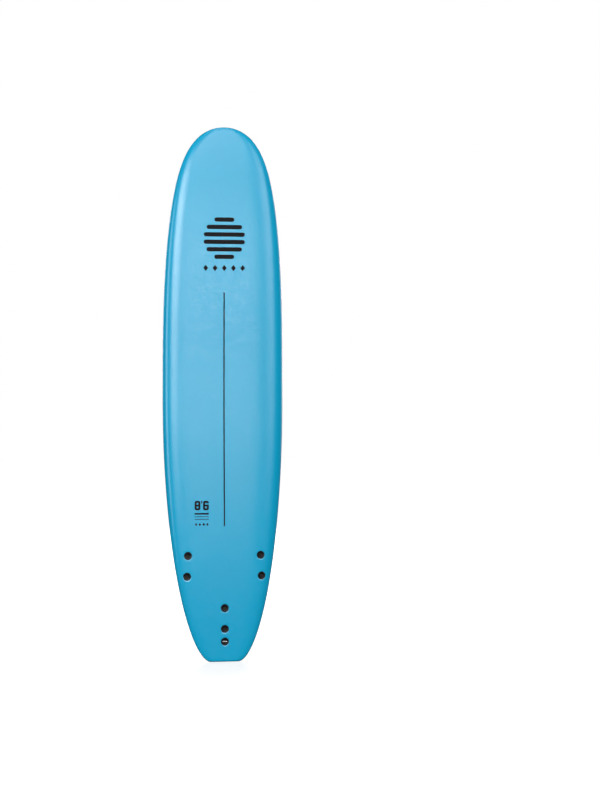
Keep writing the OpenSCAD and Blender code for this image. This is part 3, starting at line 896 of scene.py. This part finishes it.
def almond_base(build, place):
    """A pointed oval foot: soft edge, low crown and a fillet up to the blade's root."""
    z = ALMOND_L / 2 * 0.998 * np.sin(np.radians(np.linspace(-90, 90, 81)))[:, None]
    u = np.sin(np.radians(np.linspace(-90, 90, 57)))[None, :]
    x = almond_half(z) * u
    front, back = blade_front(0), blade_back(0)
    s = np.clip((front - z) / (front - back), 0, 1)
    root = BLADE_T / 2 * np.sqrt(s) * (1 - s) * SECTION_PEAK
    beyond = np.maximum(0, np.maximum(z - front, back - z))
    away = np.hypot(np.maximum(0, np.abs(x) - root), beyond)
    crown = np.sqrt(np.maximum(0, (1 - u**2) * (1 - (z / (ALMOND_L / 2)) ** 2)))
    top = FOOT_EDGE + FOOT_CROWN * crown + FILLET * np.exp(-away / FILLET_RUN) * crown**2
    top += FOOT_SOFT * (1 - np.exp(-4 * (1 - u**2)))
    level = FIT + base_sag(z)
    upper = build.add(place.at(np.stack([x, level + top, z + 0 * x], -1)))
    lower = build.add(place.at(np.stack([x, level + 0 * x, z + 0 * x], -1)))
    build.sheet(upper, lower)


def fin_post(build, seat, end):
    """The post that slides into the board, with lead-in chamfers and its bore."""
    line, depth = line_place(seat, end * POST_GAP / 2)
    low, high = -depth - 1.5 * MM, -POST_TOP
    groove = 0.5 * MM
    outside = [(0.2 * MM, low), (POST_R, low)]
    for k in (1, 2, 3):
        at = low + (high - low) * (0.25 + 0.2 * k)
        outside += [(POST_R, at - groove), (POST_R - groove, at), (POST_R, at + groove)]
    outside += [(POST_R, high - 1.5 * MM), (POST_R - 1.2 * MM, high)]
    bore = INSERT_R + RUNNING
    bolt_way = BOLT_R + FIT
    floor = -BOLT_SEAT - BOLT_L - 2 * MM
    insert_end = -POST_TOP - INSERT_L - RUNNING
    inside = [(bore, high), (bore, insert_end), (bolt_way, insert_end), (bolt_way, floor)]
    inside.append((0.2 * MM, floor))
    build.rings(turned(outside + inside, line, round_angles(48)))


def fin(side_name):
    """A blade, its almond base and its two posts."""
    side = SIDES[side_name]
    seat = fin_seat(side)
    build = Build()
    cant = 0 if side == 0 else SIDE_CANT
    tip = TIP_START + (1 - TIP_START) * np.sin(np.linspace(0.1, 1, 9) * math.pi / 2)
    levels = [0.0, *np.linspace(0.03, 0.95, 44), *tip]
    build.rings(np.array([seat.at(blade_ring(h, cant, side)) for h in levels]))
    almond_base(build, seat)
    for end in ENDS.values():
        fin_post(build, seat, end)
    make(f"{side_name}_fin_blade", build, FIN, f"{side_name}_fin",
         node=f"fin_{side_name}", sharp=45)


# ---- Cups, bolts and the leash plug

FLANGE_UNDER = -3 * MM
THREAD_PITCH = 1 * MM
THREAD_DEPTH = 0.42 * MM
CROSS_ARM, CROSS_HALF_W = 3 * MM, 0.8 * MM
HEAD_H = 5 * MM
RECESS_H = 2.4 * MM

# The flange's rolled rim: how far in from its edge, and its height, both in mm
RIM = ((0.0, -2.6), (0.0, -0.7), (0.25, -0.2), (0.8, 0.05), (2.2, 0.08), (2.9, -0.1))


def moulded_cup(name, node, seat, offset, barrel_r, depth, dish, bore):
    """A cup with a barrel, a flange with a rolled rim, a dish and a bore. The flange is square
    to the deck and the rest follows the bolt's line. dish is (radius, height in mm) and bore is
    (radius, height)."""
    line, _ = line_place(seat, offset)
    barrel = [(barrel_r, -depth), (barrel_r, FLANGE_UNDER - 0.2 * MM)]
    flange = [(barrel_r + 0.4 * MM, FLANGE_UNDER), (FLANGE_R - 0.4 * MM, FLANGE_UNDER)]
    flange += [(FLANGE_R - inwards * MM, height * MM) for inwards, height in RIM]
    flange += [(r, height * MM) for r, height in dish]
    inside = [*bore, (bore[-1][0], -depth)]
    stages = [(barrel, line), (flange, deck_place(line)), (inside, line)]
    rings = [turned(profile, place, round_angles(72)) for profile, place in stages]
    build = Build()
    build.rings(np.concatenate(rings), loop=True)
    make(name, build, CUP, node=node)


def deck_cup(name, seat, offset):
    """A fin bolt's cup, with a shallow dish and a step for the bolt's head."""
    well, hole = HEAD_R + 0.75 * MM, BOLT_R + FIT
    dish = [(FLANGE_R - 3.5 * MM, -0.45), (well + 3.4 * MM, -0.75), (well + 2.2 * MM, -0.95),
            (well + 0.9 * MM, -1.7)]
    bore = [(well, -4.2 * MM), (well, -BOLT_SEAT), (hole, -BOLT_SEAT)]
    moulded_cup(f"{name}_moulded", name, seat, offset, BARREL_R, CUP_H, dish, bore)


def leash_cup():
    """The leash plug's cup, with an open well and a hole in its floor for the disc's post."""
    well, hole = LEASH_BORE_R, LEASH_POST_R + RUNNING
    floor = -LEASH_H + LEASH_FLOOR
    dish = [(FLANGE_R - 3.6 * MM, -0.4), (well + 2.6 * MM, -0.5), (well + 1.3 * MM, -0.7),
            (well + 0.4 * MM, -1.4)]
    bore = [(well, -2.4 * MM), (well, floor + 1.5 * MM), (well - 0.5 * MM, floor + 0.5 * MM),
            (well - 1.5 * MM, floor), (hole, floor)]
    moulded_cup("leash_plug_cup", "leash_cup", seat_place(0.0, LEASH_Z), 0.0, LEASH_BARREL_R,
                LEASH_H, dish, bore)


def cross_radius(a):
    """The outline of a cross recess at an angle."""
    off = (a + math.pi / 4) % (math.pi / 2) - math.pi / 4
    return min(CROSS_ARM / math.cos(off), CROSS_HALF_W / max(1e-6, abs(math.sin(off))))


def thread_radius(height):
    """A bolt's radius at an angle, for a ring at that height: the thread's V profile, which
    narrows to a lead at the end."""
    fade = min(1.0, (height + BOLT_L) / (1.6 * MM))

    def radius(a):
        phase = (height / THREAD_PITCH - a / (2 * math.pi)) % 1.0
        depth = THREAD_DEPTH * (1 - abs(2 * phase - 1))
        return (BOLT_R - depth) * (0.72 + 0.28 * fade)

    return radius


def bolt(name, seat, offset):
    """A low cheese-head bolt with a cross recess and a cut thread."""
    line, _ = line_place(seat, offset)
    step = Place(line.at([0, 0, -BOLT_SEAT]), line.axes)
    top = HEAD_H
    profile = [(0.15 * MM, top - RECESS_H - 0.1 * MM),
               (lambda a: 0.8 * cross_radius(a), top - RECESS_H),
               (cross_radius, top - 0.15 * MM), (lambda a: cross_radius(a) + 0.12 * MM, top),
               (HEAD_R - 1.1 * MM, top), (HEAD_R - 0.45 * MM, top - 0.12 * MM),
               (HEAD_R - 0.1 * MM, top - 0.5 * MM), (HEAD_R, top - 1 * MM),
               (HEAD_R, 0.4 * MM), (HEAD_R - 0.3 * MM, 0), (BOLT_R + 0.1 * MM, 0),
               (BOLT_R, -0.3 * MM), (BOLT_R, -2 * MM)]
    turns = np.arange(-2.15 * MM, -BOLT_L, -THREAD_PITCH / 8)
    profile += [(thread_radius(h), h) for h in turns]
    profile.append((0.15 * MM, -BOLT_L))
    build = Build()
    build.rings(turned(profile, step, round_angles(48)))
    make(f"{name}_turned", build, BLACK_STEEL, name, node=name, sharp=50)


def leash_disc():
    """The domed disc on the bottom with a coin slot, and the post that screws into the cup."""
    seat = seat_place(0.0, LEASH_Z)
    line, depth = line_place(seat, 0.0)
    half_l, half_w = LEASH_DISC_R / 2, 1.5 * MM
    corner = math.atan2(half_w, half_l)
    corners = [corner, math.pi - corner, math.pi + corner, 2 * math.pi - corner]
    spread = [a for a in round_angles(72) if min(abs(a - c) for c in corners) > 0.03]
    angles = np.array(sorted(spread + corners))

    def slot_radius(a):
        return min(half_l / max(1e-6, abs(math.cos(a))), half_w / max(1e-6, abs(math.sin(a))))

    base = -depth - FIT
    face = base - LEASH_DISC_T
    wide = LEASH_DISC_R
    disc = [(lambda a: 0.9 * slot_radius(a), face + 1.7 * MM), (slot_radius, face + 0.1 * MM),
            (lambda a: slot_radius(a) + 0.25 * MM, face),
            (lambda a: max(slot_radius(a) + 0.5 * MM, 0.6 * wide), face + 0.15 * MM),
            (0.8 * wide, face + 0.6 * MM), (0.9 * wide, face + 1.2 * MM),
            (0.96 * wide, face + 1.9 * MM), (wide - 0.2 * MM, face + 2.7 * MM),
            (wide, face + 3.2 * MM), (wide - 0.2 * MM, base), (LEASH_POST_R + 0.8 * MM, base),
            (LEASH_POST_R, base + 0.8 * MM), (LEASH_POST_R, -LEASH_H + LEASH_FLOOR - 2 * MM),
            (LEASH_POST_R - 0.8 * MM, -LEASH_H + LEASH_FLOOR - 1 * MM)]
    build = Build()
    build.rings(turned(disc, line, angles))
    make("leash_plug_nut", build, CUP, "leash_plug_disc", node="leash_disc")


# ---- Prints: thin plates that follow the board

INK_PROUD, INK_ROOT = 0.2 * MM, 0.3 * MM
BAR_SHARE = 0.58
STRIPE_HALF_W, STRIPE_LOW, STRIPE_HIGH = 3.2 * MM, 0.658, 1.794
EMBLEM_Z, EMBLEM_R = 2.056, 100 * MM
MARKS_Z, MARK_PITCH = 1.912, 45 * MM
SIZE_LEFT, SIZE_RIGHT = -145 * MM, -76 * MM
FIGURE_Z, FIGURE_W, FIGURE_H, STROKE = 0.737, 28 * MM, 46 * MM, 10 * MM
SIZE_BARS = ((0.716, 0.724), (0.7045, 0.7075), (0.6915, 0.6945))
SIZE_MARKS_Z, SIZE_MARK = 0.668, 7 * MM
BADGE_Z, BADGE_R, BADGE_DISC_R = 2.000, 131 * MM, 60 * MM
TILE_X, TILE_Z, TILE_PITCH = -153 * MM, 1.262, 25 * MM
TILE_HALF_W, TILE_HALF_H = 17 * MM, 11.8 * MM
TILE_BAR_OUT = 0.9 * MM

# A label tile from its edge to its middle: share of its size, and height in mm
TILE_RINGS = ((0.97, -0.3), (1.0, 0.1), (0.99, 0.6), (0.95, 0.9), (0.86, 1.0),
              (0.78, 0.85), (0.7, 0.8), (0.35, 0.8), (0.05, 0.8))


def on_deck(x, z, out):
    return deck_at(x, z) - out


def on_bottom(x, z, out):
    return belly_at(x, z) + out


def plate(build, x, z, surface):
    """A closed plate over a grid of x and z, a little proud of the surface under it."""
    upper = build.add(np.stack([x, surface(x, z, INK_PROUD), z], -1))
    lower = build.add(np.stack([x, surface(x, z, -INK_ROOT), z], -1))
    build.sheet(upper, lower)


def bar(build, left, right, low, high, surface=on_deck):
    """A plate between two heights. left and right are numbers or functions of the height."""
    step = 1 * MM if callable(left) or callable(right) else 6 * MM
    count = max(3, int((high - low) / step) + 2)
    z = np.linspace(low, high, count)
    start = left(z) if callable(left) else np.full(count, left)
    end = right(z) if callable(right) else np.full(count, right)
    cols = max(3, int(np.max(end - start) / (8 * MM)) + 2)
    u = np.linspace(0, 1, cols)[None, :]
    x = start[:, None] * (1 - u) + end[:, None] * u
    plate(build, x, z[:, None] + 0 * x, surface)


def striped_disc(build, z0, radius, bars, surface=on_deck):
    """A disc of level bars with round ends, on the centre line."""
    pitch = 2 * radius / (bars - 1 + BAR_SHARE)
    height = BAR_SHARE * pitch
    for k in range(bars):
        low = z0 - radius + k * pitch
        middle = low + height / 2 - z0
        reach = math.sqrt(max(0.0, (radius * 1.02) ** 2 - middle**2))
        reach = max(reach, 0.3 * radius)
        soft = height / 2
        z = np.linspace(-1, 1, 13) * soft
        end = reach - soft + np.sqrt(np.maximum(0, soft**2 - z**2))
        u = np.linspace(-1, 1, 27)[None, :]
        x = end[:, None] * u
        plate(build, x, z0 + middle + z[:, None] + 0 * x, surface)


def diamond(build, x0, z0, half_x, half_z):
    """A diamond on the deck."""
    share = np.linspace(-0.98, 0.98, 9)[:, None]
    u = np.linspace(-1, 1, 5)[None, :]
    x = x0 + half_x * (1 - np.abs(share)) * u
    plate(build, x, z0 + half_z * share + 0 * x, on_deck)


def loop_figure(build, left, closed_top):
    """A figure of two stacked loops. Without a closed top its upper loop opens to the right."""
    right = left + FIGURE_W
    low, high = FIGURE_Z, FIGURE_Z + FIGURE_H
    in_left, in_right = left + STROKE, right - STROKE
    in_low, in_high = low + STROKE, high - STROKE
    mid = STROKE * 0.9
    room = (in_high - in_low - mid) / 2
    mid_top = in_low + room + mid
    soft = 0.34 * FIGURE_W

    def side(z):
        """How far the rounded corners draw the figure in at a height."""
        to_end = np.minimum(z - low, high - z)
        return soft - np.sqrt(np.maximum(0, soft**2 - np.maximum(0, soft - to_end) ** 2))

    def left_side(z):
        return left + side(z)

    def right_side(z):
        return right - side(z)

    bar(build, left_side, right_side, low, in_low)
    bar(build, left_side, right_side, in_high, high)
    bar(build, in_left, in_right, in_low + room, mid_top)
    bar(build, left_side, in_left, in_low, in_high)
    bar(build, in_right, right_side, in_low, mid_top)
    upper = mid_top if closed_top else in_high - 0.25 * room
    bar(build, in_right, right_side, upper, in_high)


def deck_prints():
    """Stripe, emblem, a row of marks and the size block."""
    stripe = Build()
    bar(stripe, -STRIPE_HALF_W, STRIPE_HALF_W, STRIPE_LOW, STRIPE_HIGH)
    make("centre_stripe", stripe, INK)

    emblem = Build()
    striped_disc(emblem, EMBLEM_Z, EMBLEM_R, 6)
    for k in range(5):
        diamond(emblem, (k - 2) * MARK_PITCH, MARKS_Z, 12 * MM, 15 * MM)
    make("deck_emblem", emblem, INK)

    block = Build()
    loop_figure(block, SIZE_LEFT, True)
    loop_figure(block, SIZE_RIGHT - FIGURE_W, False)
    tick_left, tick_low = SIZE_LEFT + 32 * MM, FIGURE_Z + 33 * MM
    bar(block, tick_left, tick_left + 5 * MM, tick_low, tick_low + 13 * MM)
    for low, high in SIZE_BARS:
        bar(block, SIZE_LEFT, SIZE_RIGHT, low, high)
    for x in np.linspace(SIZE_LEFT + SIZE_MARK, SIZE_RIGHT - SIZE_MARK, 4):
        diamond(block, x, SIZE_MARKS_Z, 6 * MM, 8 * MM)
    make("size_block", block, INK)


def arc_marks(build, height, start, end, count, fill):
    """Marks along the badge's edge, from one angle in degrees to another."""
    step = (end - start) / count
    for k in range(count):
        a0 = math.radians(start + k * step)
        a1 = math.radians(start + (k + fill) * step)
        a = np.linspace(a0, a1, 7)[:, None]
        r = np.linspace(BADGE_R - height, BADGE_R, 4)[None, :]
        plate(build, r * np.cos(a), BADGE_Z + r * np.sin(a), on_bottom)


def on_tile(x, z, out):
    return on_bottom(x, z, out + TILE_BAR_OUT)


def bottom_prints():
    """The round badge and the strip of four label tiles."""
    badge = Build()
    arc_marks(badge, 15 * MM, 20, 160, 16, 0.62)
    arc_marks(badge, 9 * MM, 200, 340, 26, 0.5)
    striped_disc(badge, BADGE_Z, BADGE_DISC_R, 5, on_bottom)
    make("bottom_badge", badge, INK)

    tiles = Build()
    a = round_angles(64)
    squareness = (np.abs(np.cos(a)) ** 5 + np.abs(np.sin(a)) ** 5) ** (-1 / 5)
    for k in range(4):
        z_mid = TILE_Z + (k - 1.5) * TILE_PITCH
        rings = []
        for share, out in TILE_RINGS:
            x = TILE_X + TILE_HALF_W * squareness * share * np.cos(a)
            z = z_mid + TILE_HALF_H * squareness * share * np.sin(a)
            rings.append(np.stack([x, on_bottom(x, z, out * MM), z], -1))
        tiles.rings(np.array(rings))
        for way in (-1, 1):
            middle = z_mid + 3 * MM * way
            bar(tiles, TILE_X - 8 * MM, TILE_X + 8 * MM, middle - 0.8 * MM,
                middle + 0.8 * MM, on_tile)
    make("label_tiles", tiles, TILE)


# ---- Camera, lights and floor

# Metres from the board's middle, and angles in degrees
CAMERA_AWAY, CAMERA_UP, CAMERA_MIDDLE_Y = 9.0, 1.271, -0.05
CAMERA_ROUND, CAMERA_PAN, CAMERA_ROLL = 7.0, 2.362, 0.15
HALF_VIEW = 12.215
LONG_SENSOR = 36.0
SURROUND = 0.09
WHITE = (1, 1, 1, 1)
FLOOR_FAR = 30.0
FLOOR_DROP = 0.2 * MM
FLOOR_HIDDEN = (0.08, 0.08, 0.08, 1)

# How far from the board the floor's contact shadow fades, and its glow there
SHADOW_NEAR, SHADOW_FAR, GLOW_NEAR, GLOW_FAR = 0.3, 1.4, 0.76, 1.0


def set_camera():
    """A long lens at eye height, a little to the left of the board."""
    data = bpy.data.cameras.new("camera")
    data.sensor_width = LONG_SENSOR
    data.lens = LONG_SENSOR / 2 / math.tan(math.radians(HALF_VIEW))
    data.clip_end = 100
    camera = linked("camera", data)
    angle = math.radians(CAMERA_ROUND)
    away_y = CAMERA_MIDDLE_Y - CAMERA_AWAY * math.cos(angle)
    camera.location = (-CAMERA_AWAY * math.sin(angle), away_y, CAMERA_UP)
    heading = -math.radians(CAMERA_ROUND + CAMERA_PAN)
    camera.rotation_euler = (math.pi / 2, math.radians(CAMERA_ROLL), heading)
    bpy.context.scene.camera = camera


def area_light(name, place, target_z, size, watts):
    """A rectangle of light at a place, turned towards the board at a height."""
    data = bpy.data.lights.new(name, "AREA")
    data.shape = "RECTANGLE"
    data.size, data.size_y = size
    data.energy = watts
    light = linked(name, data)
    light.location = place
    towards = Vector((0, 0, target_z)) - Vector(place)
    light.rotation_euler = towards.to_track_quat("-Z", "Y").to_euler()


def set_lights():
    """Soft lights on both sides, and a surround that is white only to the camera."""
    area_light("front", (0.5, -10.0, 1.55), 1.5, (4.2, 1.1), 116)
    area_light("front high", (0.5, -10.0, 4.0), 1.5, (4.2, 1.5), 124)
    area_light("front left", (-3.8, -8.6, 2.5), 1.5, (3.4, 2.7), 330)
    area_light("high", (0.0, -5.5, 7.0), 0.9, (2.0, 2.0), 155)
    area_light("side left", (-6.0, -3.2, 1.6), 1.1, (1.6, 3.2), 75)
    area_light("side right", (4.6, -7.4, 2.7), 1.4, (3.0, 3.4), 130)
    area_light("behind", (1.6, 9.0, 3.0), 1.3, (4.0, 3.4), 430)
    area_light("behind left", (-5.5, 7.0, 2.8), 1.3, (3.0, 3.4), 190)
    area_light("behind right", (6.5, 3.6, 2.4), 1.3, (2.4, 3.2), 110)
    world = bpy.data.worlds.new("studio")
    bpy.context.scene.world = world
    world.use_nodes = True
    tree = world.node_tree
    tree.nodes.clear()
    soft = new_node(tree, "Background", {"Color": WHITE, "Strength": SURROUND})
    white = new_node(tree, "Background", {"Color": WHITE})
    path, mix = new_node(tree, "LightPath"), new_node(tree, "MixShader")
    tree.links.new(path.outputs["Is Camera Ray"], mix.inputs["Fac"])
    tree.links.new(soft.outputs["Background"], mix.inputs[1])
    tree.links.new(white.outputs["Background"], mix.inputs[2])
    tree.links.new(mix.outputs["Shader"], new_node(tree, "OutputWorld").inputs["Surface"])


def set_floor():
    """A plain pale floor just under the tail. It glows to the camera, less round the board,
    and stays dark to the other rays, so it doesn't wash out the deck."""
    f = Finish("pale floor", Emission_Color=WHITE)
    pale = f.tinted(f.noise(2.0), (0.26, 0.26, 0.26, 1), (0.28, 0.28, 0.28, 1))
    f.roughness(f.noise(8.0), 0.75, 0.85)
    seen = f.node("LightPath").outputs["Is Camera Ray"]
    f.colour(f.mixed(seen, FLOOR_HIDDEN, pale))
    away = f.node("VectorMath", operation="LENGTH")
    f.link(f.coordinates, away.inputs[0])
    glow = f.node("Math", operation="MULTIPLY")
    shadow = f.remapped(away.outputs["Value"], SHADOW_NEAR, SHADOW_FAR, GLOW_NEAR, GLOW_FAR)
    f.link(shadow, glow.inputs[0])
    f.link(seen, glow.inputs[1])
    f.link(glow.outputs["Value"], f.shader.inputs["Emission Strength"])
    mesh = bpy.data.meshes.new("floor")
    far = FLOOR_FAR
    corners = [(-far, -far, 0), (far, -far, 0), (far, far, 0), (-far, far, 0)]
    mesh.from_pydata(corners, [], [(0, 1, 2, 3)])
    mesh.materials.append(f.material)
    floor = linked("floor", mesh)
    floor.location.z = cad_low.z - FLOOR_DROP


# ---- Assembly

def finish_node(name, mat):
    """Gives a CAD node that stays in view its material."""
    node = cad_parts[name]
    node.data.materials.clear()
    node.data.materials.append(mat)


set_camera()
set_lights()
set_floor()

deck_foam()
slick_sheet()
bumper("nose_guard", NOSE_BUMPER_W, nose_inner_z, nose_z, "nose_bumper")
bumper("tail_guard", TAIL_BUMPER_W, tail_inner_z, tail_z, "tail_bumper")
for side_name, side_value in SIDES.items():
    fin(side_name)
    for end_name, end_value in ENDS.items():
        fitting = f"{side_name}_{end_name}"
        seat_and_offset = fin_seat(side_value), end_value * POST_GAP / 2
        deck_cup(f"{fitting}_cup", *seat_and_offset)
        bolt(f"{fitting}_bolt", *seat_and_offset)
        finish_node(f"{fitting}_sleeve", SLEEVE)
    finish_node(f"{side_name}_fin_inserts", BRASS)
leash_cup()
leash_disc()
deck_prints()
bottom_prints()
finish_node("leash_bar", STEEL)
finish_node("bottom_backing", CORE)
for part in ("left", "centre", "right"):
    finish_node(f"foam_core_{part}", CORE)
for part in ("left", "right"):
    finish_node(f"stringer_{part}", PLYWOOD)

bpy.context.scene.view_settings.view_transform = "Standard"
